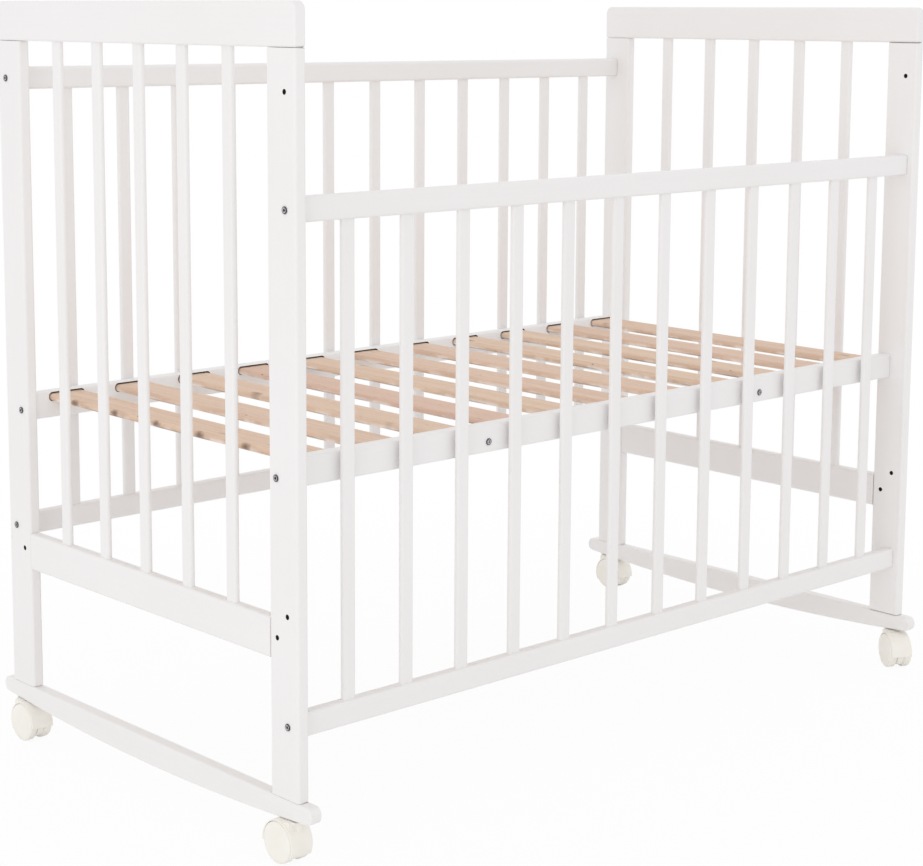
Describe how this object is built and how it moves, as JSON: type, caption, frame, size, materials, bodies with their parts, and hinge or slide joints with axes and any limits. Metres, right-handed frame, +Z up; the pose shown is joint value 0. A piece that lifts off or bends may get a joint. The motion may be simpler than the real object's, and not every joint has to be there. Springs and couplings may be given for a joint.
{
  "type": "crib",
  "caption": "Slatted crib with a lowered front side, a slatted bed base, arched rocking runners and swivelling twin-wheel casters.",
  "frame": {"origin": "on the floor under the middle of the crib", "axes": "+X along the length towards the right end seen from the front, +Y from the lowered front side towards the back side, +Z up"},
  "size_m": [1.2621, 0.7179, 1.0485],
  "materials": {
    "painted_wood": "satin white paint on solid wood",
    "bare_wood": "sanded bare softwood",
    "cream_plastic": "smooth cream plastic",
    "bolt_steel": "zinc plated steel"
  },
  "bodies": {
    "frame": {"post_front_left": "painted_wood", "post_back_left": "painted_wood", "end_top_rail_left": "painted_wood", "end_slat_frame_left": "painted_wood", "runner_left": "painted_wood", "post_front_right": "painted_wood", "post_back_right": "painted_wood", "end_top_rail_right": "painted_wood", "end_slat_frame_right": "painted_wood", "runner_right": "painted_wood", "front_top_rail": "painted_wood", "front_slat_panel": "painted_wood", "bed_rail_front": "painted_wood", "bolt_front_top_1": "bolt_steel", "bolt_front_top_2": "bolt_steel", "bolt_front_bottom_1": "bolt_steel", "bolt_front_bottom_2": "bolt_steel", "bolt_front_bed_1": "bolt_steel", "bolt_front_bed_2": "bolt_steel", "back_top_rail": "painted_wood", "back_slat_panel": "painted_wood", "bed_rail_back": "painted_wood", "bolt_back_top_1": "bolt_steel", "bolt_back_top_2": "bolt_steel", "bolt_back_bottom_1": "bolt_steel", "bolt_back_bottom_2": "bolt_steel", "bolt_back_bed_1": "bolt_steel", "bolt_back_bed_2": "bolt_steel", "bed_slat_01": "bare_wood", "bed_slat_02": "bare_wood", "bed_slat_03": "bare_wood", "bed_slat_04": "bare_wood", "bed_slat_05": "bare_wood", "bed_slat_06": "bare_wood", "bed_slat_07": "bare_wood", "bed_slat_08": "bare_wood", "bed_slat_09": "bare_wood", "bed_slat_10": "bare_wood", "bed_slat_11": "bare_wood", "bed_crossbar_1": "painted_wood", "bed_crossbar_2": "painted_wood", "caster_front_left_stem": "bolt_steel", "caster_back_left_stem": "bolt_steel", "caster_front_right_stem": "bolt_steel", "caster_back_right_stem": "bolt_steel"},
    "front_left_caster": {"caster_front_left_hood": "cream_plastic"},
    "front_left_wheel_1": {"caster_front_left_wheel_1": "cream_plastic"},
    "front_left_wheel_2": {"caster_front_left_wheel_2": "cream_plastic"},
    "back_left_caster": {"caster_back_left_hood": "cream_plastic"},
    "back_left_wheel_1": {"caster_back_left_wheel_1": "cream_plastic"},
    "back_left_wheel_2": {"caster_back_left_wheel_2": "cream_plastic"},
    "front_right_caster": {"caster_front_right_hood": "cream_plastic"},
    "front_right_wheel_1": {"caster_front_right_wheel_1": "cream_plastic"},
    "front_right_wheel_2": {"caster_front_right_wheel_2": "cream_plastic"},
    "back_right_caster": {"caster_back_right_hood": "cream_plastic"},
    "back_right_wheel_1": {"caster_back_right_wheel_1": "cream_plastic"},
    "back_right_wheel_2": {"caster_back_right_wheel_2": "cream_plastic"}
  },
  "joints": [
    {"name": "front_left_swivel", "type": "hinge", "parent": "frame", "child": "front_left_caster", "pos_m": [-0.6105, -0.315, 0.05637], "axis": [0, 0, 1], "continuous": true},
    {"name": "front_left_wheel_1_spin", "type": "hinge", "parent": "front_left_caster", "child": "front_left_wheel_1", "pos_m": [-0.6105, -0.297, 0.02667], "axis": [1, 0, 0], "continuous": true},
    {"name": "front_left_wheel_2_spin", "type": "hinge", "parent": "front_left_caster", "child": "front_left_wheel_2", "pos_m": [-0.6105, -0.297, 0.02667], "axis": [1, 0, 0], "continuous": true},
    {"name": "back_left_swivel", "type": "hinge", "parent": "frame", "child": "back_left_caster", "pos_m": [-0.6105, 0.315, 0.05637], "axis": [0, 0, 1], "continuous": true},
    {"name": "back_left_wheel_1_spin", "type": "hinge", "parent": "back_left_caster", "child": "back_left_wheel_1", "pos_m": [-0.6105, 0.297, 0.02667], "axis": [1, 0, 0], "continuous": true},
    {"name": "back_left_wheel_2_spin", "type": "hinge", "parent": "back_left_caster", "child": "back_left_wheel_2", "pos_m": [-0.6105, 0.297, 0.02667], "axis": [1, 0, 0], "continuous": true},
    {"name": "front_right_swivel", "type": "hinge", "parent": "frame", "child": "front_right_caster", "pos_m": [0.6105, -0.315, 0.05637], "axis": [0, 0, 1], "continuous": true},
    {"name": "front_right_wheel_1_spin", "type": "hinge", "parent": "front_right_caster", "child": "front_right_wheel_1", "pos_m": [0.60096, -0.33026, 0.02667], "axis": [0.848, -0.5299, 0], "continuous": true},
    {"name": "front_right_wheel_2_spin", "type": "hinge", "parent": "front_right_caster", "child": "front_right_wheel_2", "pos_m": [0.60096, -0.33026, 0.02667], "axis": [0.848, -0.5299, 0], "continuous": true},
    {"name": "back_right_swivel", "type": "hinge", "parent": "frame", "child": "back_right_caster", "pos_m": [0.6105, 0.315, 0.05637], "axis": [0, 0, 1], "continuous": true},
    {"name": "back_right_wheel_1_spin", "type": "hinge", "parent": "back_right_caster", "child": "back_right_wheel_1", "pos_m": [0.6105, 0.297, 0.02667], "axis": [1, 0, 0], "continuous": true},
    {"name": "back_right_wheel_2_spin", "type": "hinge", "parent": "back_right_caster", "child": "back_right_wheel_2", "pos_m": [0.6105, 0.297, 0.02667], "axis": [1, 0, 0], "continuous": true}
  ]
}
